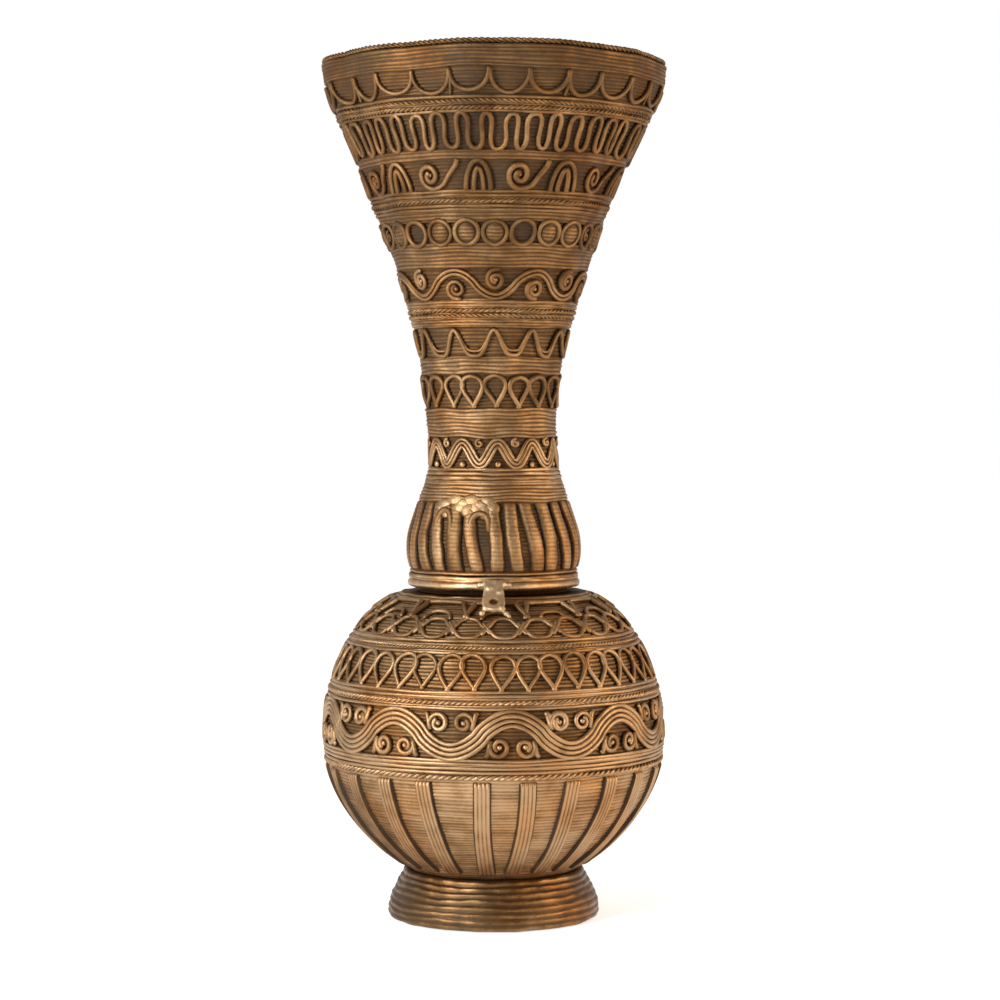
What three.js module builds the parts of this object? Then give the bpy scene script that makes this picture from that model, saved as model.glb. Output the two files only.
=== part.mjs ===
// A two-part cast brass vase in the wound-thread manner: a footed globe, and a flared neck that lifts off it.
// Millimetres, +Z up. The origin is the centre of the foot's base. Angles are measured from the front (-Y)
// towards +X. Each ornament of laid wire is a closed ring of its own, held just clear of its shell.
import * as THREE from 'three';
import { ParametricGeometry } from 'three/addons/geometries/ParametricGeometry.js';

// Driving dimensions
const vaseHeight = 320;
const globeRadius = 63.2;
const globeCentreZ = 68;
const globeReach = 60;
const globeFullnessAbove = 0.36;
const globeFullnessBelow = 0.63;
const wall = 2.4;
const gap = 0.3;
const wireGap = 0.45;
const wireWidth = 1.5;
const wireHeight = 1;

// Foot
const footHeight = 18;
const footTopRadius = 32.6;
const footBaseRadius = 38.7;
const footWall = 3.2;

// Globe
const splitZ = 62;
const seatZ = 121.5;
const seatRadius = 34.4;
const strapCount = 23;
const strapWidth = 5.6;
const strapHeight = 1.1;
const firstStrap = THREE.MathUtils.degToRad(-4);
const widePanel = THREE.MathUtils.degToRad(19.6);

// Socket that the neck sits over
const socketRadius = 20.7;
const socketWall = 2.1;
const socketLowZ = 117.5;
const socketTopZ = 150;
const runningClearance = 0.5;

// Neck
const neckBaseZ = 163.6;
const neckTopZ = 317.6;
const neckRadius = 24;
const flareStartZ = 185;
const flareGrowth = 0.01815;
const flarePower = 1.6;
const lipRadius = 65.2;
const lipSlope = 0.12;
const lobeCount = 12;
const lobeDepth = 1.8;
const lobeStartZ = 262;

// Collar bulb, its bead ring and the lug
const bulbRibs = 26;
const bulbFlute = 1.5;
const bulbWall = 2.6;
const beadZ = 125.9;
const beadRadius = 30.3;
const beadHalfWidth = 2.3;
const beadHalfHeight = 2.8;
const lugWidth = 8.4;
const lugThickness = 1.8;
const lugEyeRadius = 1.5;
const lugTop = new THREE.Vector2(33.95, 126.5);
const lugTip = new THREE.Vector2(45.8, 116.9);

// Steps round the axis
const neckSteps = 60;
const globeSteps = 48;

const brass = { raised: 0xb98a4b, shell: 0x7d5a30, polished: 0xc79a58 };

// The place at a radius and height, at an angle round the axis.
function polar(radius, angle, z, target) {
  return target.set(radius * Math.sin(angle), -radius * Math.cos(angle), z);
}

// The globe's outer surface, fuller above its centre than below it. A fullness of 0.5 would be an ellipse.
function globeAt(z) {
  const share = 1 - ((z - globeCentreZ) / globeReach) ** 2;
  return globeRadius * share ** (z > globeCentreZ ? globeFullnessAbove : globeFullnessBelow);
}

// The neck's outer surface without its lobes: a straight throat, a flare, and a nearly upright lip.
function neckAt(z) {
  const flare = neckRadius + flareGrowth * Math.max(0, z - flareStartZ) ** flarePower;
  return Math.min(flare, lipRadius - lipSlope * (vaseHeight - z));
}

// How far the surface sinks at the creases between the lobes, deepest at the rim.
function lobeSink(angle, z) {
  const depth = lobeDepth * THREE.MathUtils.smoothstep(z, lobeStartZ, vaseHeight);
  return depth * (1 - Math.abs(Math.sin((lobeCount / 2) * angle)) ** 0.8);
}

function neckSurface(angle, z) {
  return neckAt(z) - lobeSink(angle, z);
}

function globeSurface(angle, z) {
  return globeAt(z);
}

function material(color, roughness) {
  return new THREE.MeshStandardMaterial({ color, roughness, metalness: 1 });
}

const materials = {
  raised: material(brass.raised, 0.35),
  shell: material(brass.shell, 0.5),
  polished: material(brass.polished, 0.3),
};

function part(name, geometry, slot) {
  const mesh = new THREE.Mesh(geometry, materials[slot]);
  mesh.name = name;
  return mesh;
}

// A closed ring whose outline, a list of [radius, height] pairs, may change with the angle.
function ring(outlineAt, steps) {
  const sides = outlineAt(0).length;
  const place = (u, v, target) => {
    const angle = (u % 1) * 2 * Math.PI;
    const [radius, z] = outlineAt(angle)[Math.round(v * sides) % sides];
    return polar(radius, angle, z, target);
  };
  return new ParametricGeometry(place, steps, sides);
}

// A wire laid round a surface along a closed path. pathAt(u) gives the angle and height for u from 0 to 1,
// and swell(u) scales the section. The section is a ridge: a flat base and one outer edge.
function laidWire(pathAt, surface, steps, width = wireWidth, height = wireHeight, swell = () => 1) {
  const onSurface = (u, lift) => {
    const { angle, z } = pathAt(u);
    return polar(surface(angle, z) + lift, angle, z, new THREE.Vector3());
  };
  const place = (u, v, target) => {
    const turn = u % 1;
    const reach = 1 / steps;
    const { angle, z } = pathAt(turn);
    const slope = surface(angle, z + 0.5) - surface(angle, z - 0.5);
    const outward = polar(1, angle, -slope, new THREE.Vector3()).normalize();
    const along = onSurface(turn + reach, 0).sub(onSurface(turn - reach, 0));
    const across = new THREE.Vector3().crossVectors(outward, along).normalize();
    const corner = Math.round(v * 3) % 3;
    const scale = swell(turn);
    target.copy(onSurface(turn, 0));
    target.addScaledVector(across, [0.5, -0.5, 0][corner] * width * scale);
    return target.addScaledVector(outward, corner === 2 ? wireGap + height * scale : wireGap);
  };
  return new ParametricGeometry(place, steps, 3);
}

// A path of equal cells round the axis, the first starting at the angle start, in degrees. cell(p) gives the
// sideways place and the height in one cell, each as a share of the cell's width and of the band's height.
function repeated(count, low, high, cell, start = 0) {
  return (u) => {
    const turn = u * count;
    const whole = Math.floor(turn);
    const [across, up] = cell(turn - whole);
    const angle = ((whole + across) / count) * 2 * Math.PI + THREE.MathUtils.degToRad(start);
    return { angle, z: low + (high - low) * up };
  };
}

// One hanging festoon.
const festoon = (p) => [p, 1 - Math.sin(Math.PI * p)];
// One upright loop of a meander, wide at its crown and narrow at its mouth.
const loop = (p) => [p + 0.1 * Math.sin(4 * Math.PI * p), 0.5 - 0.5 * Math.cos(2 * Math.PI * p)];
// One scroll of a running wave that leans over.
const scroll = (p) => [p + 0.15 - 0.15 * Math.cos(2 * Math.PI * p), 0.5 - 0.5 * Math.cos(2 * Math.PI * p)];
// One flat-bottomed garland with a peak at each end.
const garland = (p) => [p, Math.abs(Math.cos(Math.PI * p)) ** 3];
// One wave.
const wave = (p) => [p, 0.5 - 0.5 * Math.cos(2 * Math.PI * p)];
// A straight run.
const level = (p) => [p, 0.5];

function wireBand(name, surface, count, cellSteps, low, high, cell, options = {}) {
  const path = repeated(count, low, high, cell, options.start);
  const geometry = laidWire(path, surface, count * cellSteps, options.width, options.height, options.swell);
  return part(name, geometry, 'raised');
}

// A twisted rope with its flanking wires, as a ring of four-sided section laid on the surface.
function ropeBand(name, surface, low, high, thickness, steps) {
  const middle = (low + high) / 2;
  const outlineAt = (angle) => [
    [surface(angle, low) + wireGap, low],
    [surface(angle, middle) + wireGap + thickness, middle - 0.3 * (high - low)],
    [surface(angle, middle) + wireGap + thickness, middle + 0.3 * (high - low)],
    [surface(angle, high) + wireGap, high],
  ];
  return part(name, ring(outlineAt, steps), 'raised');
}

function footRing() {
  const outline = [
    [footTopRadius - footWall, footHeight],
    [footBaseRadius - 1.2 * footWall, 0],
    [footBaseRadius - 1, 0],
    [footBaseRadius, 1.2],
    [footBaseRadius, 5.5],
    [footBaseRadius - 2.6, 11.5],
    [footTopRadius, footHeight],
  ];
  return part('foot_ring', ring(() => outline, globeSteps), 'raised');
}

// A bowl with a closed floor. Its profile starts and ends on the axis.
function lowerBowl() {
  const floorZ = footHeight + gap;
  const rimZ = splitZ - gap / 2;
  const steps = 6;
  const outer = [];
  const inner = [];
  for (let i = 0; i <= steps; i += 1) {
    const z = floorZ + (rimZ - floorZ) * (i / steps) ** 1.5;
    outer.push(new THREE.Vector2(Math.max(globeAt(z), footTopRadius - 1), z));
    const innerZ = Math.min(z + wall * (1 - i / steps), rimZ);
    inner.unshift(new THREE.Vector2(globeAt(innerZ) - wall - (i === 0 ? wall : 0), innerZ));
  }
  const profile = [
    new THREE.Vector2(0, floorZ),
    ...outer,
    ...inner,
    new THREE.Vector2(0, floorZ + wall),
  ];
  const geometry = new THREE.LatheGeometry(profile, globeSteps);
  geometry.rotateX(Math.PI / 2);
  return part('lower_bowl', geometry, 'shell');
}

// The upper half of the globe, closed in at the top by the flat seat for the neck.
function shoulderShell() {
  const bottomZ = splitZ + gap / 2;
  const steps = 6;
  const outer = [];
  const inner = [];
  for (let i = 0; i <= steps; i += 1) {
    const z = bottomZ + (seatZ - bottomZ) * (i / steps) ** 0.75;
    outer.push([i === steps ? seatRadius : globeAt(z), z]);
    const innerZ = Math.min(z, seatZ - wall);
    inner.unshift([i === steps ? seatRadius - wall : globeAt(z) - wall * (1 + 0.4 * (i / steps)), innerZ]);
  }
  const bore = socketRadius + gap;
  const outline = [...outer, [bore, seatZ], [bore, seatZ - wall], ...inner];
  return part('shoulder_shell', ring(() => outline, globeSteps), 'shell');
}

function neckSocket() {
  const bore = socketRadius - socketWall;
  const outline = [
    [bore, socketLowZ],
    [socketRadius, socketLowZ],
    [socketRadius, socketTopZ - 1],
    [socketRadius - 0.8, socketTopZ],
    [bore, socketTopZ],
  ];
  return part('neck_socket', ring(() => outline, globeSteps), 'shell');
}

// One flat strap of four laid wires down the bowl, drawn as its side outline and given its width.
function bowlStrap(index) {
  const highZ = splitZ - 4.4;
  const lowZ = footHeight + 4.6;
  const steps = 5;
  const inner = [];
  const outer = [];
  for (let i = 0; i <= steps; i += 1) {
    const z = highZ + (lowZ - highZ) * (i / steps);
    const depth = i === 0 || i === steps ? 0.7 * strapHeight : strapHeight;
    inner.push(new THREE.Vector2(globeAt(z) + wireGap, z));
    outer.unshift(new THREE.Vector2(globeAt(z) + wireGap + depth, z));
  }
  const shape = new THREE.Shape([...inner, ...outer]);
  const geometry = new THREE.ExtrudeGeometry(shape, { depth: strapWidth, bevelEnabled: false });
  geometry.translate(0, 0, -strapWidth / 2);
  geometry.rotateX(Math.PI / 2);
  const pitch = (2 * Math.PI - widePanel) / (strapCount - 1);
  const mesh = part(`bowl_strap_${String(index + 1).padStart(2, '0')}`, geometry, 'raised');
  mesh.rotation.z = firstStrap + index * pitch - Math.PI / 2;
  return mesh;
}

function neckTrumpet() {
  const outerZ = [neckBaseZ, 184, 193, 205, 222, 242, 262, 280, 296, 308, neckTopZ];
  const innerZ = [neckTopZ, 300, 280, 255, 230, 200, neckBaseZ];
  const inner = (angle, z) => neckSurface(angle, z) - wall - (z > flareStartZ ? 0.3 : 0);
  const outlineAt = (angle) => [
    ...outerZ.map((z) => [neckSurface(angle, z), z]),
    ...innerZ.map((z) => [inner(angle, z), z]),
  ];
  return part('neck_trumpet', ring(outlineAt, neckSteps), 'shell');
}

// The rope on the lip, standing on the trumpet's top edge.
function rimRope() {
  const low = neckTopZ + gap;
  const outlineAt = (angle) => {
    const outer = neckSurface(angle, neckTopZ) + 0.7;
    const inner = outer - wall - 0.9;
    return [
      [inner, low],
      [outer, low],
      [outer, vaseHeight - 0.7],
      [(inner + outer) / 2, vaseHeight],
      [inner, vaseHeight - 0.7],
    ];
  };
  return part('rim_rope', ring(outlineAt, neckSteps), 'raised');
}

// The ribbed bulb. Its outline is fluted between heights above the bead ring and below the neck.
function collarBulb() {
  const bore = socketRadius + runningClearance;
  const bottomZ = seatZ + gap;
  const grooveTopZ = beadZ + beadHalfHeight + 0.4;
  const grooveRadius = beadRadius - beadHalfWidth - 0.4;
  const topZ = neckBaseZ - gap;
  const swell = [[30.9, grooveTopZ], [32.2, 134.5], [32.1, 142], [29.5, 151]];
  const cavity = [[25.6, 153.5], [28.6, 142], [28.2, 133]];
  const outlineAt = (angle) => {
    const flute = 0.5 - 0.5 * Math.cos(bulbRibs * angle);
    return [
      [bore, bottomZ],
      [grooveRadius, bottomZ],
      [grooveRadius, grooveTopZ],
      ...swell.map(([radius, z]) => [radius - bulbFlute * flute, z]),
      [26.9, 158.5],
      [25.2, topZ],
      [neckRadius - wall, topZ],
      ...cavity,
      [grooveRadius - bulbWall, 128],
      [grooveRadius - bulbWall, bottomZ + bulbWall],
      [bore, bottomZ + bulbWall],
    ];
  };
  return part('collar_bulb', ring(outlineAt, 2 * bulbRibs), 'shell');
}

// The plain ring under the bulb: an oval section.
function beadRing() {
  const sides = 6;
  const outline = Array.from({ length: sides }, (_, i) => {
    const turn = (i / sides) * 2 * Math.PI;
    return [beadRadius + beadHalfWidth * Math.cos(turn), beadZ + beadHalfHeight * Math.sin(turn)];
  });
  return part('bead_ring', ring(() => outline, globeSteps), 'polished');
}

// The tongue that hangs from the bead ring over the shoulder, with its open eye.
function fixingLug() {
  const length = lugTop.distanceTo(lugTip);
  const half = lugWidth / 2;
  const tongue = new THREE.Shape();
  tongue.moveTo(-half * 0.75, length);
  tongue.lineTo(-half, half);
  tongue.absarc(0, half, half, Math.PI, 2 * Math.PI, false);
  tongue.lineTo(half * 0.75, length);
  const eye = new THREE.Path();
  eye.absarc(0, half, lugEyeRadius, 0, 2 * Math.PI, true);
  tongue.holes.push(eye);
  const geometry = new THREE.ExtrudeGeometry(tongue, {
    depth: lugThickness,
    bevelEnabled: false,
    curveSegments: 8,
  });
  const lug = part('fixing_lug', geometry, 'polished');
  lug.rotation.x = Math.atan2(lugTop.y - lugTip.y, lugTip.x - lugTop.x);
  lug.position.set(0, -lugTip.x, lugTip.y);
  return lug;
}

function globe() {
  const group = new THREE.Group();
  group.add(
    footRing(),
    lowerBowl(),
    shoulderShell(),
    neckSocket(),
    ropeBand('girdle_rope', globeSurface, 58.8, 65.8, 1.1, globeSteps),
    ropeBand('upper_girdle_rope', globeSurface, 83.6, 89.6, 1, globeSteps),
    ropeBand('shoulder_rope', globeSurface, 103, 107.2, 1, globeSteps),
    wireBand('vine_band', globeSurface, 9, 8, 70, 79.6, wave, { width: 5, start: -14 }),
    wireBand('petal_band', globeSurface, 39, 6, 91.4, 101.2, loop, { start: -2 }),
    wireBand('lower_lattice', globeSurface, 27, 3, 108.6, 112.6, festoon),
    wireBand('upper_lattice', globeSurface, 27, 3, 114.6, 118, festoon, { height: 0.8 }),
  );
  for (let index = 0; index < strapCount; index += 1) group.add(bowlStrap(index));
  return group;
}

function neck() {
  const group = new THREE.Group();
  const bead = (p) => 1 + 0.5 * Math.cos(48 * Math.PI * p);
  group.add(
    neckTrumpet(),
    rimRope(),
    wireBand('festoon_band', neckSurface, 27, 4, 302, 308, festoon, { start: -1.3 }),
    ropeBand('upper_rope', neckSurface, 295, 299.8, 1, neckSteps),
    wireBand('loop_band', neckSurface, 40, 6, 283.6, 293.4, loop),
    wireBand('scroll_band', neckSurface, 18, 5, 270, 277.8, scroll, { start: 2 }),
    ropeBand('middle_rope', neckSurface, 261, 267.8, 1, neckSteps),
    wireBand('ring_band', neckSurface, 24, 4, 250, 257, level, { width: 4, swell: bead }),
    wireBand('lower_scroll_band', neckSurface, 14, 5, 231.4, 239.8, scroll, { start: -9.5 }),
    ropeBand('lower_rope', neckSurface, 220.6, 228.8, 1, globeSteps),
    wireBand('garland_band', neckSurface, 12, 6, 210.6, 217.6, garland, { start: 2 }),
    wireBand('teardrop_band', neckSurface, 18, 6, 192, 200.6, loop),
    wireBand('throat_wave_band', neckSurface, 11, 8, 170, 177, wave, { width: 2.8, start: -11.9 }),
    collarBulb(),
    beadRing(),
    fixingLug(),
  );
  return group;
}

const vase = new THREE.Group();
vase.add(globe(), neck());

export default vase;
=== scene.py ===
"""A two-part cast brass vase whose whole surface is wound and laid wax thread, antiqued and rubbed bright.

Lengths in this script are millimetres until a mesh is made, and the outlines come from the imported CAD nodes.
Angles are in degrees, measured from the front (-Y) towards +X.
"""

import math

import bmesh
import bpy
import numpy as np
from mathutils import Matrix, Vector


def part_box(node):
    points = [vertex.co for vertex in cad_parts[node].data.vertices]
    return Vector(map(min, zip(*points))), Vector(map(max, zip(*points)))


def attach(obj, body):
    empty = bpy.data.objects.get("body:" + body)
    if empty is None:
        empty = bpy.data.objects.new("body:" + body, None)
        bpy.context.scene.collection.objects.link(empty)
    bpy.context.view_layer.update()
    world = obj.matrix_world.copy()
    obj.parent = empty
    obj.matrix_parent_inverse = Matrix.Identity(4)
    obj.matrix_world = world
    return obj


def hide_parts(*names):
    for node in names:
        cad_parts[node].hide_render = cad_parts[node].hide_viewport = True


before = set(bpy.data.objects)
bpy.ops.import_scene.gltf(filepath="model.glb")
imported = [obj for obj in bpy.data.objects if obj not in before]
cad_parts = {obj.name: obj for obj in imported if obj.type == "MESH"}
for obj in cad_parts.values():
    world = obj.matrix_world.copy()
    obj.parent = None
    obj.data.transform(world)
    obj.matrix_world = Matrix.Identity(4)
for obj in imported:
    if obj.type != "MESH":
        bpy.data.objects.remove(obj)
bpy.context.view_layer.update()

MM = 0.001
TURN = 2 * math.pi

# The threads
THREAD_PITCH = 1.4
THREAD_RIDGE = 0.36
THREAD_SHAPE = np.array([0.0, 0.85, 1.0, 0.85])
THREAD_WEAR = np.array([0.26, 0.7, 0.84, 0.7])
FOOT_PITCH = 2.3
FOOT_RIDGE = 0.6
RECESS_DEPTH = 0.9
WALL = 2.4
WIRE = 0.95
SUNK = 0.1
ROPE_TWIST = 4.3
STRAP_WIDTH = 5.7
STRAP_RISE = 1.0
STRAP_FILLET = 0.42
BULB_RIBS = 26
LOBES = 12
LUG_TOP = (33.95, 126.5)
LUG_TIP = (45.8, 116.9)


# ---------------------------------------------------------------- outlines read from the CAD

def node_points(name):
    """A node's vertices as radius, angle and height in millimetres."""
    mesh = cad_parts[name].data
    co = np.zeros(len(mesh.vertices) * 3)
    mesh.vertices.foreach_get("co", co)
    x, y, z = (co.reshape(-1, 3) / MM).T
    return np.hypot(x, y), np.arctan2(x, -y), z


def outer_radius(name, z):
    """Where a ray from outside, at the middle of a lobe, meets a node."""
    angle = math.pi / LOBES
    out = Vector((math.sin(angle), -math.cos(angle), 0))
    start = out * 0.2 + Vector((0, 0, z * MM))
    hit, place, _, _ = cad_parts[name].ray_cast(start, -out)
    return place.xy.length / MM if hit else 0.0


def outline(*names):
    """The outer outline of one or more nodes, bottom to top, as heights and radii."""
    rows = {}
    for name in names:
        radius, _, z = node_points(name)
        low, high = z.min() + 0.01, z.max() - 0.01
        for level in np.unique(z.round(2)):
            here = radius[np.abs(z - level) < 0.02].max()
            if abs(here - outer_radius(name, min(max(level, low), high))) < 0.5:
                rows[float(level)] = float(here)
    heights = np.array(sorted(rows))
    keep = np.concatenate(([True], np.diff(heights) > 0.5))
    heights = heights[keep]
    return heights, np.array([rows[h] for h in heights])


def through(x, known_x, known_y):
    """A smooth curve through known points (cubic Hermite)."""
    slope = np.gradient(known_y, known_x)
    i = np.clip(np.searchsorted(known_x, x) - 1, 0, len(known_x) - 2)
    h = known_x[i + 1] - known_x[i]
    t = np.clip((x - known_x[i]) / h, 0, 1)
    a = (2 * t**3 - 3 * t**2 + 1) * known_y[i] + (t**3 - 2 * t**2 + t) * h * slope[i]
    return a + (3 * t**2 - 2 * t**3) * known_y[i + 1] + (t**3 - t**2) * h * slope[i + 1]


def lobe_depth():
    """How far the neck's rim sinks at its creases."""
    radius, _, z = node_points("neck_trumpet")
    rim = radius[z > z.max() - 0.02]
    outer = rim[rim > rim.max() - WALL]
    return float(outer.max() - outer.min())


class Surface:
    """A turned surface, with lobes that fade out below lobe_start where it has them."""

    def __init__(self, heights, radii, lobes=0.0, lobe_start=0.0, warp=None, dents=0.0):
        self.heights, self.radii, self.dents = heights, radii, dents
        self.low, self.high = float(heights[0]), float(heights[-1])
        self.lobes, self.lobe_start = lobes, lobe_start
        self.warp = warp or (lambda angle, z: (0, 0))

    def radius(self, angle, z):
        bare = through(np.asarray(z, float), self.heights, self.radii)
        uneven = self.dents * (1 + 1.4 * np.clip((z - 250) / 70, 0, 1))
        bare = bare + uneven * (ripple(np.asarray(angle), z, 51, turns=13, rise=0.16) - 1)
        if not self.lobes:
            return bare + 0 * np.asarray(angle)
        fade = np.clip((z - self.lobe_start) / (self.high - self.lobe_start), 0, 1)
        crease = 1 - np.abs(np.sin(LOBES / 2 * np.asarray(angle))) ** 0.8
        return bare - self.lobes * fade**2 * (3 - 2 * fade) * crease

    def slope(self, angle, z):
        return (self.radius(angle, z + 0.4) - self.radius(angle, z - 0.4)) / 0.8

    def place(self, angle, z, lift):
        """Points on the surface, lifted along its normal, and the normals."""
        slope = self.slope(angle, z)
        length = np.sqrt(1 + slope**2)
        outward = np.stack([np.sin(angle) / length, -np.cos(angle) / length, -slope / length], -1)
        point = self.at_radius(self.radius(angle, z), angle, z)
        return point + np.asarray(lift)[..., None] * outward, outward

    def at_radius(self, radius, angle, z):
        aside, up = self.warp(angle, z)
        return np.stack([radius * np.sin(angle) + aside, -radius * np.cos(angle), z + up + 0 * radius], -1)


def ripple(angle, z, seed, waves=6, turns=14, rise=0.5):
    """Smooth repeatable unevenness between about -1 and 1 that closes round the axis."""
    rng = np.random.default_rng(seed)
    total = 0
    for _ in range(waves):
        k = int(rng.integers(1, turns))
        total = total + np.sin(k * angle + rng.uniform(-rise, rise) * z + rng.uniform(0, TURN))
    return total / waves**0.5


# ---------------------------------------------------------------- meshes

class Shape:
    """Gathers the parts of one piece: points, faces and how rubbed each point is, from 0 to 1, lower where shade is
    painted.
    """

    def __init__(self):
        self.points, self.faces, self.wear, self.count = [], [], [], 0

    def add(self, points, faces, wear):
        self.points.append(points.reshape(-1, 3))
        self.wear.append(np.asarray(wear, float).reshape(-1))
        self.faces += [[self.count + i for i in face] for face in faces]
        self.count += len(self.points[-1])

    def grid(self, points, wear, wrap_rows=False, wrap_columns=True, caps=False):
        """A sheet of quads over rows and columns of points. caps closes its first and last rows."""
        rows, columns = points.shape[:2]
        index = np.arange(rows * columns).reshape(rows, columns)
        below = index if wrap_rows else index[:-1]
        above = np.roll(index, -1, 0) if wrap_rows else index[1:]
        if wrap_columns:
            quads = [below, np.roll(below, -1, 1), np.roll(above, -1, 1), above]
        else:
            quads = [below[:, :-1], below[:, 1:], above[:, 1:], above[:, :-1]]
        faces = np.stack(quads, -1).reshape(-1, 4).tolist()
        if caps:
            faces += [index[0][::-1].tolist(), index[-1].tolist()]
        self.add(points, faces, wear)

    def piece(self, name, slot, body, *nodes, material=None):
        mesh = bpy.data.meshes.new(name)
        points = np.concatenate(self.points)
        mesh.from_pydata((points * MM).tolist(), [], self.faces)
        # Each point's wear is multiplied here by the tone by height and by the painted shade on the lower left of the
        # bowl.
        wear = np.concatenate(self.wear) * tone_by_height(points[:, 2]) * painted_left_shade(points)
        layer = mesh.attributes.new("wear", "FLOAT", "POINT")
        layer.data.foreach_set("value", wear.astype(np.float32))
        mesh.shade_smooth()
        mesh.update()
        made = bpy.data.objects.new(name, mesh)
        bpy.context.scene.collection.objects.link(made)
        mesh.materials.append(MATERIALS[material or slot])
        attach(made, body)
        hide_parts(*nodes)
        return made


HAND = np.random.default_rng(7)


def wander(count, closed):
    """Smooth uneven values along a path, one for each point, mostly between -1 and 1."""
    knots = HAND.normal(size=max(count // 5, 2))
    if closed:
        knots = np.append(knots, knots[0])
    return np.interp(np.linspace(0, len(knots) - 1, count), np.arange(len(knots)), knots).clip(-1.5, 1.5)


def tube(shape, points, outward, radius, closed=False, sides=8, worn=1.0, taper=True):
    """A round wire along a path. It is rubbed along its outer side, and its open ends are rounded."""
    if closed:
        along = np.roll(points, -1, 0) - np.roll(points, 1, 0)
    else:
        along = np.gradient(points, axis=0)
    along /= np.linalg.norm(along, axis=1, keepdims=True) + 1e-9
    across = np.cross(outward, along)
    across /= np.linalg.norm(across, axis=1, keepdims=True) + 1e-9
    up = np.cross(along, across)
    size = radius * (1 + 0.07 * wander(len(points), closed))
    worn = np.clip(worn * (1 + 0.18 * wander(len(points), closed)), 0, 1)
    if not closed and taper:
        ends = [points[0] - 0.6 * size[0] * along[0], points[-1] + 0.6 * size[-1] * along[-1]]
        points = np.vstack([ends[0], points, ends[1]])
        size = np.concatenate(([0.55 * size[0]], size, [0.55 * size[-1]]))
        worn = np.concatenate((worn[:1], worn, worn[-1:]))
        across = np.vstack([across[:1], across, across[-1:]])
        up = np.vstack([up[:1], up, up[-1:]])
    turn = np.arange(sides) / sides * TURN
    ring = np.cos(turn)[None, :, None] * across[:, None] + np.sin(turn)[None, :, None] * up[:, None]
    body = points[:, None] + size[:, None, None] * ring
    wear = worn[:, None] * np.clip(0.38 + 0.5 * np.sin(turn), 0, 1)
    shape.grid(body, wear, wrap_rows=closed, caps=not closed)


def curve(points, per=6, closed=False):
    """A smooth line through a few given points (Catmull-Rom)."""
    p = np.asarray(points, float)
    p = np.vstack([p[-1], p, p[0], p[1]]) if closed else np.vstack([p[0], p, p[-1]])
    t = (np.arange(per) / per)[:, None]
    line = []
    for a, b, c, d in zip(p, p[1:], p[2:], p[3:]):
        line.append(0.5 * (2 * b + (c - a) * t + (2 * a - 5 * b + 4 * c - d) * t**2
                           + (3 * b - a - 3 * c + d) * t**3))
    line = np.vstack(line)
    return line if closed else np.vstack([line, p[-2]])


def wire(shape, surface, centre, line, radius=WIRE, lift=None, closed=False, worn=1.0, sides=8):
    """A wire laid on a surface along a line of [sideways, height] points, in millimetres, with its sideways
    places measured from the angle centre."""
    line = np.asarray(line, float)
    middle = float(surface.radius(math.radians(centre), line[:, 1].mean()))
    angle = math.radians(centre) + line[:, 0] / middle
    line = line + 0.16 * np.stack([wander(len(line), closed), wander(len(line), closed)], -1)
    rest = SUNK if lift is None else lift
    points, outward = surface.place(angle, line[:, 1], np.full(len(line), rest))
    tube(shape, points, outward, radius * HAND.uniform(0.88, 1.08), closed, sides, worn * HAND.uniform(0.68, 1.05))


def bundle(shape, surface, angle, z, count, radius, closed=False, worn=1.0, lift=0.55):
    """Parallel wires side by side along a path on a surface."""
    points, outward = surface.place(angle, z, np.zeros_like(z))
    if closed:
        along = np.roll(points, -1, 0) - np.roll(points, 1, 0)
    else:
        along = np.gradient(points, axis=0)
    across = np.cross(outward, along)
    across /= np.linalg.norm(across, axis=1, keepdims=True)
    for i in range(count):
        shift = (i - (count - 1) / 2) * 1.9 * radius
        line = points + across * shift + outward * lift
        tube(shape, line, outward, radius, closed, 8, worn)


def rope(shape, surface, z, radius, lift, twist, hand=1, worn=1.0):
    """A two-strand twisted rope laid round the surface at a height."""
    reach = float(surface.radius(0.3, z)) * TURN
    turns = round(reach / twist)
    steps = turns * 12
    angle = np.arange(steps) / steps * TURN
    middle, outward = surface.place(angle, np.full(steps, z), np.full(steps, lift))
    along = np.roll(middle, -1, 0) - np.roll(middle, 1, 0)
    across = np.cross(outward, along)
    across /= np.linalg.norm(across, axis=1, keepdims=True)
    for start in (0, math.pi):
        phase = hand * turns * angle + start
        swing = np.cos(phase)[:, None] * across + np.sin(phase)[:, None] * outward
        tube(shape, middle + 0.42 * radius * swing, outward, 0.6 * radius, True, 7, worn)


def ring_wire(shape, surface, z, radius, lift, worn=1.0, steps=240):
    """One wire laid level round the surface."""
    angle = np.arange(steps) / steps * TURN
    uneven = 0.12 * ripple(angle, z, int(z * 10))
    points, outward = surface.place(angle, z + uneven, np.full(steps, lift))
    tube(shape, points, outward, radius, True, 8, worn)


# ---------------------------------------------------------------- wound shells


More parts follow.
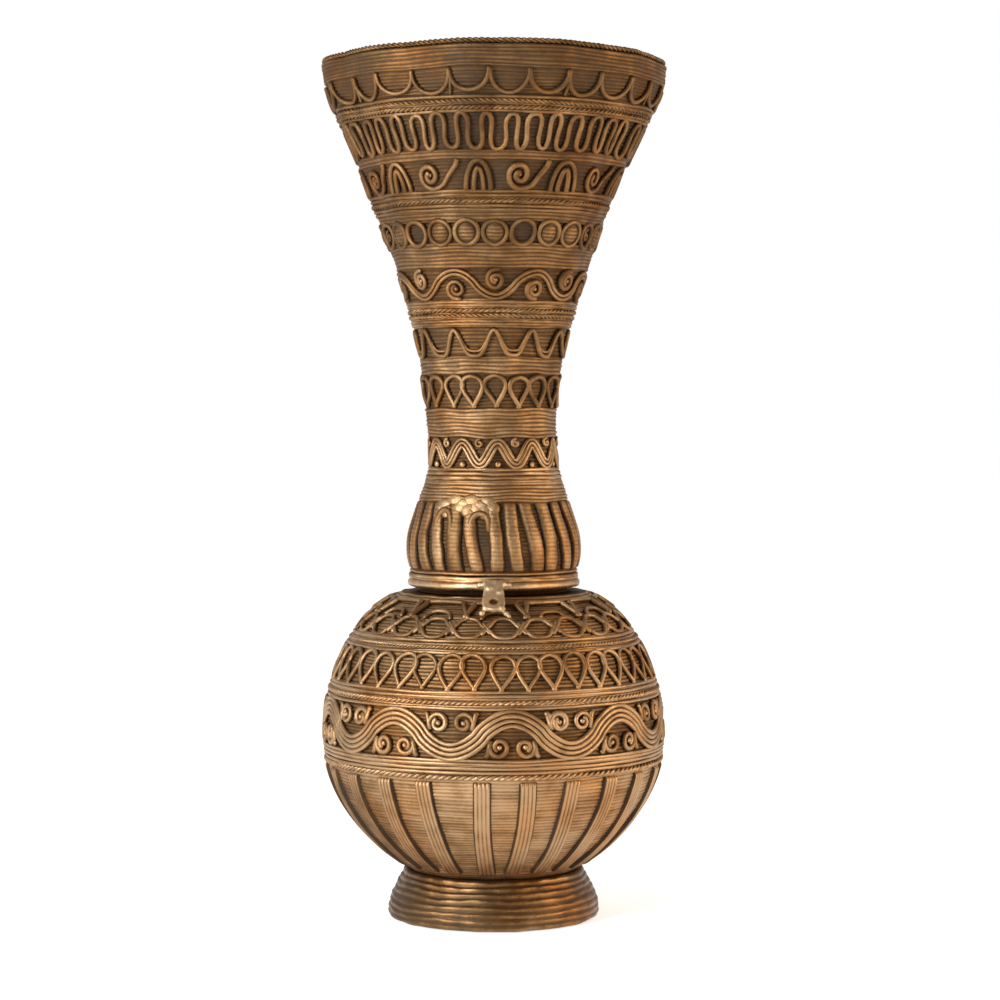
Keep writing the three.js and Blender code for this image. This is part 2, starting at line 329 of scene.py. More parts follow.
def wound_rows(surface, low, high, pitch, ridge, columns, recesses, seed, groove=None):
    """The outer face of a shell of wound thread: one ridge to a turn, sunk and darker in the recesses."""
    fine = np.linspace(low, high, 2000)
    radius = surface.radius(0.26, fine)
    length = np.concatenate(([0], np.cumsum(np.hypot(np.diff(fine), np.diff(radius)))))
    threads = round(length[-1] / pitch)
    rows = 4 * threads + 1
    z = np.interp(np.linspace(0, length[-1], rows), length, fine)[:, None]
    angle = (np.arange(columns) / columns * TURN)[None, :]
    kind = np.arange(rows) % 4
    sunk, inside = np.zeros_like(z), np.zeros_like(z)
    for start, end, depth, dull in recesses:
        here = np.clip(np.minimum(z - start, end - z) / 0.7, 0, 1)
        sunk = np.maximum(sunk, depth * here)
        inside = np.maximum(inside, dull * here)
    rng = np.random.default_rng(seed)
    thread = np.arange(rows) // 4
    thickness = rng.uniform(0.7, 1.25, threads + 1)[thread][:, None]
    level = rng.uniform(-0.13, 0.13, threads + 1)[thread][:, None]
    ends = np.clip(np.minimum(z - low, high - z) / 2, 0, 1)
    wander = ends * (0.25 * ripple(angle, z, seed, turns=9) + level)
    uneven = thickness * (1 + 0.2 * ripple(angle, 7 * z, seed + 1, turns=30))
    lift = ridge * THREAD_SHAPE[kind][:, None] * uneven - sunk
    lift = lift + 0.14 * ripple(angle, z, seed + 2, turns=20) * (1 - inside)
    points, _ = surface.place(angle, z + wander, lift)
    wear = THREAD_WEAR[kind][:, None]
    if groove is not None:
        wear = np.maximum(wear, groove)
    wear = wear * (1 - inside) * (1 + 0.1 * ripple(angle, 5 * z, seed + 3))
    return points, np.clip(wear, 0, 1)


def painted_left_shade(points):
    """How much of the rubbing is left where painted shade darkens the lower left side of the bowl."""
    x, y, z = points.T
    # Painted shade: the lower left of the bowl is coloured darker, as if it lay in shadow.
    beside = np.exp(-((np.arctan2(x, -y) + 1.15) / 0.6) ** 2)
    return 1 - 0.42 * beside * np.clip((62 - z) / 12, 0, 1) * np.clip((z - 16) / 6, 0, 1)


def tone_by_height(z):
    """How much brighter or darker the surface is coloured, by height: most on the globe, least at mouth and foot."""
    return np.interp(z, [0, 18, 22, 30, 60, 160, 190, 240, 265, 320],
                     [0.66, 0.66, 0.95, 1.1, 1.2, 1.06, 0.88, 0.74, 0.62, 0.6])


def plain_rows(surface, columns, outline_points):
    """Rows at given radii and heights; a negative radius is a depth under the surface, so it keeps the lobes."""
    angle = np.arange(columns) / columns * TURN
    rows = []
    for radius, z in outline_points:
        reach = surface.radius(angle, z) + radius if radius < 0 else np.full(columns, float(radius))
        rows.append(surface.at_radius(reach, angle, np.full(columns, z)))
    return np.array(rows)


def wound_shell(name, body, node, surface, span, columns, inside, pitch=THREAD_PITCH, ridge=THREAD_RIDGE,
                recesses=(), seed=1, floor=False, groove=None, material=None):
    """A closed shell: the wound outer face, then the plain inner face given from top to bottom."""
    outer, wear = wound_rows(surface, *span, pitch, ridge, columns, recesses, seed, groove)
    inner = plain_rows(surface, columns, inside)
    points = np.concatenate([outer, inner])
    values = np.concatenate([wear, np.full(inner.shape[:2], 0.28)])
    shape = Shape()
    shape.grid(points, values, wrap_rows=not floor, caps=floor)
    return shape.piece(name, "wound_brass", body, node, material=material)


# ---------------------------------------------------------------- laid ornament

def cells(count, phase):
    """The centre angles of equal cells round the axis."""
    return [phase + i * 360 / count for i in range(count)]


def cell_width(surface, z, count):
    return TURN * float(surface.radius(0.26, z)) / count


def spiral(x, z, outer, inner, turns, start, hand, steps=26):
    """A flat coil from its outer end inwards. start is the angle of the outer end in degrees."""
    t = np.linspace(0, 1, steps)
    r = outer + (inner - outer) * t**0.85
    a = math.radians(start) + hand * turns * TURN * t
    return np.stack([x + r * np.cos(a), z + r * np.sin(a)], -1)


def boss(shape, surface, centre, x, mid, half_width, half_height, rise, threaded=False, sunk=-0.5):
    """A low round knob, plain or wound with level threads."""
    rings, columns = (10, 28) if threaded else (5, 14)
    out = np.linspace(1, 0.08, rings)[:, None]
    turn = (np.arange(columns) / columns * TURN)[None, :]
    aside, z = x + half_width * out * np.cos(turn), mid + half_height * out * np.sin(turn)
    thread = np.abs(np.sin(math.pi * (z - mid) / 1.3)) if threaded else np.ones_like(z)
    height = rise * np.sqrt(np.clip(1 - out**2, 0, 1)) + (0.3 * thread * (1 - out**3) if threaded else 0) + sunk
    angle = math.radians(centre) + aside / float(surface.radius(math.radians(centre), mid))
    points, _ = surface.place(angle, z, height)
    shape.grid(points, np.clip(0.15 + 0.75 * thread * (1 - out**4), 0, 1), caps=True)


def festoons(shape, surface, low, high, count, phase):
    """Hanging swags of one thick wire, with a short upright stub where some of them meet."""
    width = cell_width(surface, (low + high) / 2, count)
    t = np.linspace(0, math.pi, 15)
    for i, centre in enumerate(cells(count, phase)):
        drop = (high - low) * HAND.uniform(0.88, 1.0)
        half = width / 2 * HAND.uniform(0.94, 1.02)
        line = np.stack([-half * np.cos(t), high - drop * np.sin(t) ** 0.85], -1)
        wire(shape, surface, centre, line, 0.92)
        if i % 3 == 1:
            wire(shape, surface, centre, [[width / 2, high], [width / 2 + 0.3, low + 2.6], [width / 2, low]], 0.6)


def meander(shape, surface, low, high, count, phase, bulge, radius=WIRE, samples=16):
    """A closed meander of tall loops, wide at their crowns and close together at the middle."""
    turn = np.arange(count * samples) / samples
    angle = math.radians(phase) + (turn + bulge * np.sin(2 * TURN * turn)) * TURN / count
    angle = angle + 0.009 * ripple(angle, 0, count, turns=40)
    z = (low + high) / 2 - (high - low) / 2 * np.cos(TURN * turn)
    z = z + 0.45 * ripple(angle, 0, count + 1, turns=30)
    points, outward = surface.place(angle, z, np.full(len(z), SUNK))
    tube(shape, points, outward, radius, True, worn=0.95)


def running_scrolls(shape, surface, low, high, count, phase):
    """Coils whose tails sweep under them and up past the pair of nested arches that follows each."""
    mid, size = (low + high) / 2, (high - low) / 2
    width = cell_width(surface, mid, count)
    turn = np.linspace(0, math.pi, 14)
    for i, centre in enumerate(cells(count, phase)):
        if i % 2 == 1:
            for half, top in ((0.92 * size, high), (0.36 * size, high - 2.6)):
                arch = np.stack([-half * np.cos(turn), low + (top - low) * np.sin(turn) ** 1.1], -1)
                arch[:, 0] += 1.6
                wire(shape, surface, centre, arch, 1.0)
            continue
        coil = spiral(0, mid, 0.98 * size, 1.0, 1.45, -80, -1)
        tail = curve([[0.17 * size, low + 0.1], [0.95 * size, low + 0.32 * size], [1.5 * size, mid],
                      [2.0 * size, mid + 0.62 * size], [width - 1.1 * size, high]])
        wire(shape, surface, centre, np.vstack([coil[::-1], tail[1:]]), 1.05)
        boss(shape, surface, centre, 0, mid, 1.0, 1.0, 1.1)


def wave_scrolls(shape, surface, low, high, count, phase):
    """A double wire that waves over and under a row of coils."""
    mid, size = (low + high) / 2, (high - low) / 2
    turn = np.arange(count * 20) / 40
    angle = math.radians(phase) + turn * TURN / (count / 2)
    swing = np.cos(TURN * turn)
    bundle(shape, surface, angle, mid - (size - 1.0) * np.sign(swing) * np.abs(swing) ** 0.8, 2, 0.8, True, lift=SUNK)
    for i, centre in enumerate(cells(count, phase)):
        side = 1 if i % 2 == 0 else -1
        coil = spiral(0, mid + side * 0.3 * size, 0.7 * size, 1.25, 1.5, 75 * side, side)
        wire(shape, surface, centre, coil, 1.0)
        boss(shape, surface, centre, 0, mid + side * 0.3 * size, 1.1, 1.1, 1.5)


def ring_row(shape, surface, low, high, count, phase):
    """Rings side by side. Most hold a boss of level threads, and a few a small coil."""
    mid, size = (low + high) / 2, (high - low) / 2
    turn = np.arange(28) / 28 * TURN
    half = 0.94 * min(size, cell_width(surface, mid, count) / 2)
    for i, centre in enumerate(cells(count, phase)):
        circle = np.stack([half * np.cos(turn), mid + size * 0.93 * np.sin(turn)], -1)
        wire(shape, surface, centre, circle, closed=True)
        if i % 5 in (0, 2, 3):
            boss(shape, surface, centre, 0, mid, 0.86 * half, 0.86 * size, 1.7, True)
        elif i % 5 == 4:
            wire(shape, surface, centre, spiral(0, mid, 0.5 * half, 0.3, 1.2, 90, 1, 16), 0.6)


def garlands(shape, surface, low, high, count, phase):
    """Flat-bottomed swags that meet in peaks, doubled by a thinner wire above."""
    samples = 20
    turn = np.arange(count * samples) / samples
    angle = math.radians(phase) + turn * TURN / count
    swing = np.abs(np.cos(math.pi * turn)) ** 4
    for shift, radius in ((0, WIRE), (1.7, 0.6)):
        z = low + shift + (high - low - shift) * swing + 0.25 * ripple(angle, 0, 5)
        points, outward = surface.place(angle, z, np.full(len(z), SUNK))
        tube(shape, points, outward, radius, True)


def teardrops(shape, surface, low, high, count, phase, radius=WIRE, fill=0.45):
    """Loops with a round top and crossed ends below, each one wire."""
    width = cell_width(surface, (low + high) / 2, count)
    r = fill * width
    top = high - r
    half = [[0.35, low - 0.2], [-0.3 * r, low + 0.3 * (top - low)], [-0.78 * r, low + 0.72 * (top - low)],
            [-r, top + 0.15 * r], [-0.72 * r, top + 0.72 * r]]
    path = half + [[0, high]] + [[-x, z] for x, z in half[::-1]]
    for centre in cells(count, phase):
        lean = HAND.uniform(-0.12, 0.12)
        line = curve(path, 4)
        line[:, 0] += lean * (line[:, 1] - low)
        line[:, 1] += HAND.uniform(-0.3, 0.3)
        wire(shape, surface, centre, line, radius)


def throat_waves(shape, surface, low, high, count, phase):
    """Three parallel wires in a wave, with a small loop on each crest."""
    turn = np.arange(count * 24) / 24
    angle = math.radians(phase) + turn * TURN / count
    mid, size = (low + high) / 2, (high - low) / 2 - 2.0
    z = mid - size * np.cos(TURN * turn)
    bundle(shape, surface, angle, z, 3, 0.72, True, lift=SUNK)
    for centre in cells(count, phase):
        wire(shape, surface, centre, spiral(0, high - 2.0, 1.7, 0.4, 1.1, 90, 1, 12), 0.7)
        boss(shape, surface, centre + 180 / count, 0, low + 1.9, 1.3, 1.5, 1.4)


def trapezoids(shape, surface, low, high, count, phase):
    """A row of wide flat-topped loops that stand foot to foot, each over a low arch."""
    width = cell_width(surface, (low + high) / 2, count)
    foot, top = 0.5 * width, 0.36 * width
    for centre in cells(count, phase):
        lean = HAND.uniform(-0.7, 0.7)
        path = [[-foot, low], [-top - 0.6, high - 0.9], [-top + 0.9, high], [top - 0.9, high],
                [top + 0.6, high - 0.9], [foot + lean, low]]
        wire(shape, surface, centre, curve(path, 5), 0.95, lift=0.5)
        arch = [[-0.5 * foot, low], [-0.3 * foot, low + 1.7], [0.3 * foot, low + 1.7], [0.5 * foot, low]]
        wire(shape, surface, centre, curve(arch, 5), 0.8)


def ovals(shape, surface, low, high, count, phase):
    """A chain of lying ovals whose pointed ends cross those of their neighbours."""
    width = cell_width(surface, (low + high) / 2, count)
    mid, size = (low + high) / 2, (high - low) / 2
    half = 0.6 * width
    for centre in cells(count, phase):
        lean = HAND.uniform(-0.4, 0.4)
        for side in (-1, 1):
            path = [[-half, mid - 0.6 * side * size], [-0.62 * half, mid + 0.35 * side * size],
                    [-0.3 * half, mid + side * size], [0.3 * half, mid + side * size],
                    [0.62 * half, mid + 0.35 * side * size], [half, mid - 0.6 * side * size + lean]]
            wire(shape, surface, centre, curve(path, 5), 0.82)


def vine(shape, surface, low, high, count, phase):
    """The wide wave of four parallel wires, with a pair of coils in every pocket above and below it."""
    steps = 60
    turn = np.arange(count * steps) / steps
    angle = math.radians(phase) + turn * TURN / count
    mid, size = (low + high) / 2, (high - low) / 2 - 3.2
    swing = np.cos(TURN * turn)
    flat = np.sign(swing) * np.abs(swing) ** 0.8
    bundle(shape, surface, angle, mid + size * flat, 4, 0.92, True, lift=0.15)
    for centre in cells(count, phase):
        for side, middle in ((-1, centre), (1, centre + 180 / count)):
            for hand in (-1, 1):
                x, z = hand * 4.6, mid + side * 4.2
                coil = spiral(x, z, 3.9, 1.45, 1.3, 90 - hand * (90 + side * 38), hand * side)
                foot = [[x + hand * 4.8, z + side * 3.0], [x + hand * 4.2, z + side * 2.8]]
                wire(shape, surface, middle, curve(np.vstack([foot, coil[::2]]), 2), 1.05)
                boss(shape, surface, middle, x, z, 1.25, 1.25, 1.7)


def rope_band(name, body, node, surface, low, high, ropes, wires):
    """Ropes at given shares of the band's height, with level wires at others."""
    shape = Shape()
    for i, (share, radius) in enumerate(ropes):
        rope(shape, surface, low + share * (high - low), radius, 0.15, ROPE_TWIST * radius, 1 if i % 2 else -1)
    for share in wires:
        ring_wire(shape, surface, low + share * (high - low), 0.7, 0.1)
    return shape.piece(name, "raised_brass", body, node)


def strap(shape, surface, centre, low, high, width, wires, rise):
    """A raised flat strap down a surface: a fillet and an upright side at each edge, painted dark as shade, and wires
    on its face.
    """
    z = np.linspace(low, high, 46)
    across = np.linspace(-0.5, 0.5, 6 * wires + 1)
    ridge = np.abs(np.sin(math.pi * wires * (across + 0.5))) ** 0.7
    fillet = 0.5 + STRAP_FILLET / width
    x = np.concatenate(([-fillet, -fillet, -0.5], across, [0.5, fillet, fillet])) * width
    lift = np.concatenate(([-0.8, 0.26, 0.3], rise + 0.3 * ridge, [0.3, 0.26, -0.8]))
    # Painted shade: the fillet and side columns at each edge get no wear, so they colour dark like the shadow beside a
    # strap.
    wear = np.concatenate(([0.0] * 3, 0.44 + 0.44 * ridge, [0.0] * 3))
    wear[3] = wear[-4] = 0.1
    ends = np.clip(np.minimum(z - low, high - z) / 1.2, 0, 1) ** 0.5
    sway = 0.25 * np.sin(z / 7 + centre * 9)
    radius = surface.radius(centre, z)
    angle = centre + (x[:, None] + sway) / radius
    points, _ = surface.place(angle, z[None] + 0 * x[:, None], lift[:, None] * ends - 0.8 * (1 - ends))
    shape.grid(points.transpose(1, 0, 2)[:, ::-1], np.broadcast_to(wear[::-1], (len(z), len(x))), caps=True)


# ---------------------------------------------------------------- materials

def node_maker(tree):
    def make(kind, x, y, **values):
        made = tree.nodes.new(kind)
        made.location = (x, y)
        for key, value in values.items():
            if hasattr(made, key):
                setattr(made, key, value)
            else:
                made.inputs[key.replace("_", " ")].default_value = value
        return made
    return make


def antique_brass(name, tones, rough, rub):
    """Cast brass: dark patina where the surface is low, rubbed metal where it is high, painted shade where the wear
    attribute is lowered for it, with blotches of warmer and greyer brown, fine pitting and uneven gloss. rub shifts
    how much of it is bare metal."""
    material = bpy.data.materials.new(name)
    material.use_nodes = True
    tree = material.node_tree
    tree.nodes.clear()
    make, link = node_maker(tree), tree.links.new
    out = make("ShaderNodeOutputMaterial", 1400, 0)
    shader = make("ShaderNodeBsdfPrincipled", 1100, 0)
    link(shader.outputs["BSDF"], out.inputs["Surface"])
    place = make("ShaderNodeTexCoord", -1200, 0).outputs["Object"]
    # The wear attribute also carries painted shade at the strap edges, round the lug's eye and on the lower left of
    # the bowl.
    wear = make("ShaderNodeAttribute", -1200, 300, attribute_name="wear").outputs["Fac"]

    def noise(x, y, scale, detail, rough_=0.6):
        made = make("ShaderNodeTexNoise", x, y, Scale=scale, Detail=detail, Roughness=rough_)
        link(place, made.inputs["Vector"])
        return made.outputs["Fac"]

    def math_node(x, y, operation, a, b, clamp=False):
        made = make("ShaderNodeMath", x, y, operation=operation, use_clamp=clamp)
        for socket, value in zip(made.inputs, (a, b)):
            if isinstance(value, (int, float)):
                socket.default_value = value
            else:
                link(value, socket)
        return made.outputs[0]

    broad = noise(-1000, 600, 34.0, 3.0)
    middle = noise(-1000, 400, 140.0, 4.0)
    grain = noise(-1000, 100, 900.0, 5.0, 0.7)
    patchy = math_node(-700, 500, "MULTIPLY_ADD", broad, 0.6)
    tree.nodes[-1].inputs[2].default_value = -0.3
    mottled = math_node(-700, 300, "MULTIPLY_ADD", middle, 0.6)
    tree.nodes[-1].inputs[2].default_value = -0.3
    speckled = math_node(-700, 100, "MULTIPLY_ADD", grain, 0.4)
    tree.nodes[-1].inputs[2].default_value = -0.2
    total = math_node(-500, 400, "ADD", wear, patchy)
    total = math_node(-400, 350, "ADD", total, mottled)
    total = math_node(-300, 300, "ADD", total, speckled)
    rubbed_and_shaded = math_node(-200, 250, "ADD", total, rub, clamp=True)

    ramp = make("ShaderNodeValToRGB", 0, 300)
    stops = ramp.color_ramp.elements
    while len(stops) < len(tones):
        stops.new(0.5)
    for stop, (position, colour) in zip(stops, tones):
        stop.position, stop.color = position, (*colour, 1)
    link(rubbed_and_shaded, ramp.inputs["Fac"])

    warm = make("ShaderNodeMix", 400, 350, data_type="RGBA", blend_type="MULTIPLY")
    warm.inputs["B"].default_value = (1.0, 0.72, 0.42, 1)
    tint = noise(0, 600, 42.0, 2.0)
    share = make("ShaderNodeMapRange", 200, 600)
    for key, value in (("From Min", 0.46), ("From Max", 0.72), ("To Min", 0.0), ("To Max", 0.7)):
        share.inputs[key].default_value = value
    link(tint, share.inputs["Value"])
    link(share.outputs["Result"], warm.inputs["Factor"])
    link(ramp.outputs["Color"], warm.inputs["A"])
    link(warm.outputs["Result"], shader.inputs["Base Color"])

    gloss = make("ShaderNodeMapRange", 400, 0)
    for key, value in (("From Min", 0.0), ("From Max", 1.0), ("To Min", rough + 0.3), ("To Max", rough)):
        gloss.inputs[key].default_value = value
    link(rubbed_and_shaded, gloss.inputs["Value"])
    link(math_node(700, 0, "ADD", gloss.outputs["Result"], speckled, clamp=True), shader.inputs["Roughness"])

    metal = make("ShaderNodeMapRange", 400, -250)
    for key, value in (("From Min", 0.0), ("From Max", 0.45), ("To Min", 0.35), ("To Max", 1.0)):
        metal.inputs[key].default_value = value
    link(rubbed_and_shaded, metal.inputs["Value"])
    link(metal.outputs["Result"], shader.inputs["Metallic"])

    pits = make("ShaderNodeTexVoronoi", 400, -500, Scale=420.0)
    link(place, pits.inputs["Vector"])
    rough_skin = math_node(650, -500, "MULTIPLY_ADD", pits.outputs["Distance"], 0.4)
    link(grain, tree.nodes[-1].inputs[2])
    bump = make("ShaderNodeBump", 850, -400, Strength=0.45, Distance=0.0004)
    link(rough_skin, bump.inputs["Height"])
    link(bump.outputs["Normal"], shader.inputs["Normal"])
    return material


BROWN = [(0.0, (0.034, 0.017, 0.006)), (0.33, (0.105, 0.056, 0.022)), (0.62, (0.24, 0.138, 0.062)),
         (1.0, (0.44, 0.285, 0.155))]
BRIGHT = [(0.0, (0.04, 0.02, 0.008)), (0.35, (0.15, 0.085, 0.036)), (0.7, (0.38, 0.24, 0.12)),
          (1.0, (0.62, 0.44, 0.27))]
PALE = [(0.0, (0.05, 0.025, 0.01)), (0.4, (0.24, 0.15, 0.08)), (0.75, (0.52, 0.38, 0.23)), (1.0, (0.76, 0.6, 0.4))]

MATERIALS = {
    "wound_brass": antique_brass("wound_brass", BROWN, 0.46, 0.0),
    "raised_brass": antique_brass("raised_brass", BROWN, 0.44, 0.04),
    "polished_brass": antique_brass("polished_brass", BRIGHT, 0.4, 0.0),
    "pale_brass": antique_brass("pale_brass", PALE, 0.5, 0.0),
    "foot_brass": antique_brass("foot_brass", BROWN, 0.24, 0.0),
}


# ---------------------------------------------------------------- the vase

def band(node, grow=0.0):
    """A node's lowest and highest height in millimetres, widened by grow."""
    low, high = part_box(node)
    return low.z / MM - grow, high.z / MM + grow


def make_globe():
    surface = Surface(*outline("lower_bowl", "shoulder_shell"))
    bowl_low, bowl_high = band("lower_bowl")
    shoulder_low, shoulder_high = band("shoulder_shell")
    sunk = [(*band("lower_lattice", 1.0), RECESS_DEPTH, 0.12), (*band("upper_lattice", 1.2), RECESS_DEPTH, 0.12),
            (*band("petal_band", 0.8), RECESS_DEPTH, 0.2), (*band("vine_band", 2.6), RECESS_DEPTH, 0.45)]
    bore = float(node_points("shoulder_shell")[0].min())
    steps = np.linspace(0, 1, 12)
    inner = [(-WALL, bowl_high - (bowl_high - bowl_low - WALL) * t) for t in steps]
    wound_shell("wound_bowl", "globe", "lower_bowl", surface, (bowl_low, bowl_high), 288,
                inner + [(0.4, bowl_low + WALL)], recesses=[(bowl_low + 2, bowl_high - 3.4, 0.25, 0.0)],
                ridge=0.2, seed=3, floor=True, groove=0.54)
    ceiling = shoulder_high - WALL
    inner = [(bore, shoulder_high), (bore, ceiling)]
    inner += [(-1.35 * WALL, ceiling - (ceiling - shoulder_low) * t) for t in steps]
    wound_shell("wound_shoulder", "globe", "shoulder_shell", surface, (shoulder_low, shoulder_high), 288,
                inner, recesses=sunk, seed=5)
    make_globe_ornament(surface)
    make_straps(surface)


def make_globe_ornament(surface):
    ropes = {
        "girdle_rope": ([(0.14, 1.15)], [0.4, 0.62, 0.84, 1.0]),
        "upper_girdle_rope": ([(0.4, 1.0)], [0.08, 0.76, 1.0]),
        "shoulder_rope": ([(0.45, 0.8)], [0.02, 0.95]),
    }
    for node, (twists, wires) in ropes.items():
        rope_band(node + "_and_wires", "globe", node, surface, *band(node), twists, wires)
    makers = {
        "vine_band": (vine, 1.8, (9, 6)),
        "petal_band": (teardrops, 0.3, (39, 2.6, 0.88, 0.48)),
        "lower_lattice": (ovals, 0.6, (24, 4.4)),
        "upper_lattice": (trapezoids, 0.3, (13, 1.0)),
    }
    for node, (make, grow, settings) in makers.items():
        shape = Shape()
        make(shape, surface, *band(node, grow), *settings)
        shape.piece(node + "_wires", "raised_brass", "globe", node)


def make_straps(surface):
    """The straps of four upright wires, each where its CAD strap lies."""
    for name in sorted(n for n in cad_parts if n.startswith("bowl_strap_")):
        low, high = band(name)
        _, angles, _ = node_points(name)
        centre = math.atan2(np.sin(angles).mean(), np.cos(angles).mean())
        shape = Shape()
        strap(shape, surface, centre, low - 2.2, high + 1.0, STRAP_WIDTH, 4, STRAP_RISE)
        shape.piece("strap_wires_" + name.rsplit("_", 1)[1], "raised_brass", "globe", name)


def make_foot():
    low, high = band("foot_ring")
    surface = Surface(*outline("foot_ring"))
    inner_top = float(node_points("foot_ring")[0].min())
    inner = [(inner_top, high), (inner_top + 4.6, low + 1), (inner_top + 5.4, low), (-1.2, low)]
    wound_shell("wound_foot", "globe", "foot_ring", surface, (low + 0.4, high), 288, inner,
                FOOT_PITCH, FOOT_RIDGE, seed=9, material="foot_brass")


def make_socket():
    low, high = band("neck_socket")
    radius = node_points("neck_socket")[0]
    outer, bore = float(radius.max()), float(radius.min())
    surface = Surface(np.array([low, high - 1, high]), np.array([outer, outer, outer - 0.8]))
    wound_shell("socket_sleeve", "globe", "neck_socket", surface, (low, high), 160,
                [(bore, high), (bore, low)], 2.4, -0.12, seed=11)


def hand_made(angle, z):
    """The neck leans a little to one side at its middle, and its lip sags at both sides."""
    share = np.clip((z - 164) / 136, 0, 1)
    rise = np.clip((z - 285) / 35, 0, 1)
    return -1.0 * np.sin(math.pi * share), -1.2 * rise**2 * (3 - 2 * rise) * np.sin(angle) ** 2


def make_neck():
    low, high = band("neck_trumpet")
    surface = Surface(*outline("neck_trumpet"), lobe_depth(), 240, hand_made, 0.42)
    dull = {"festoon_band": 0.25, "loop_band": 0.75, "scroll_band": 0.55, "ring_band": 0.75,
            "lower_scroll_band": 0.4, "garland_band": 0.25, "teardrop_band": 0.45, "throat_wave_band": 0.6}
    inner = [(-WALL, high - (high - low) * t) for t in np.linspace(0, 1, 30)]
    wound_shell("wound_trumpet", "neck", "neck_trumpet", surface, (low, high), 208, inner,
                recesses=[(*band(n, 1.3), RECESS_DEPTH, d) for n, d in dull.items()], seed=21)
    make_neck_ornament(surface)
    shape = Shape()
    for z, lift, radius in ((low + 0.9, 0.7, 1.0), (low + 2.5, 0.35, 0.9), (low + 4.0, 0.1, 0.8)):
        ring_wire(shape, surface, z, radius, lift, 0.85)
    shape.piece("throat_wires", "raised_brass", "neck", "neck_trumpet")


def make_neck_ornament(surface):
    makers = {
        "festoon_band": (festoons, 0.3, (27, 5.3)),
        "loop_band": (meander, 0.5, (40, 2, 0.12, 1.02)),
        "scroll_band": (running_scrolls, 0.9, (18, -28)),
        "ring_band": (ring_row, 1.8, (24, 2)),
        "lower_scroll_band": (wave_scrolls, 0.9, (14, 3)),
        "garland_band": (garlands, 0.4, (12, 2)),
        "teardrop_band": (teardrops, 0.4, (18, 4)),
        "throat_wave_band": (throat_waves, 1.0, (11, -12)),
    }
    for node, (make, grow, settings) in makers.items():
        shape = Shape()
        make(shape, surface, *band(node, grow), *settings)
        shape.piece(node.replace("_band", "_wires"), "raised_brass", "neck", node)
    ropes = {
        "upper_rope": ([(0.25, 0.95), (0.68, 0.95)], [0.0, 1.0]),
        "middle_rope": ([(0.5, 1.0)], [0.05, 0.24, 0.78, 0.98]),
        "lower_rope": ([(0.62, 0.95), (0.38, 0.95)], [0.02, 0.15, 0.84, 0.99]),
    }
    for node, (twists, wires) in ropes.items():
        rope_band(node + "_and_wires", "neck", node, surface, *band(node), twists, wires)
    low, high = band("rim_rope")
    shape = Shape()
    for inward, drop, radius, hand in ((0.9, 0.15, 1.0, 1), (2.6, 0.35, 0.9, -1)):
        ring = Surface(surface.heights, surface.radii - inward, surface.lobes, surface.lobe_start, hand_made,
                       surface.dents)
        rope(shape, ring, (low + high) / 2 - drop, radius, 0, ROPE_TWIST, hand)
    shape.piece("rim_rope_strands", "raised_brass", "neck", "rim_rope")


def make_collar():
    low, high = band("collar_bulb")
    bead_high = band("bead_ring")[1]
    heights, radii = outline("collar_bulb")
    above = heights > bead_high
    surface = Surface(heights[above], radii[above])
    start, groove = surface.low, float(radii[~above].max())
    bore = float(node_points("collar_bulb")[0].min())
    inner = [(-WALL, high - (high - start) * t) for t in np.linspace(0, 1, 14)]
    inner += [(groove - WALL, start - 1), (groove - WALL, low + WALL), (bore, low + WALL), (bore, low),
              (groove, low), (groove, start)]
    rib_low, rib_high = start + 0.8, high - 7.0
    wound_shell("wound_bulb", "neck", "collar_bulb", surface, (start, high), 208, inner,
                recesses=[(rib_low, rib_high, 1.4, 0.65)], seed=31)
    shape = Shape()
    top = float(radii[-1]) - 0.5
    ring_wire(shape, Surface(np.array([start, high]), np.array([top, top])), high - 0.1, 0.9, 0, 0.8)
    make_ribs(shape, surface, rib_low, rib_high)
    shape.piece("bulb_ribs", "raised_brass", "neck", "collar_bulb")
    make_bead()
    make_lug()


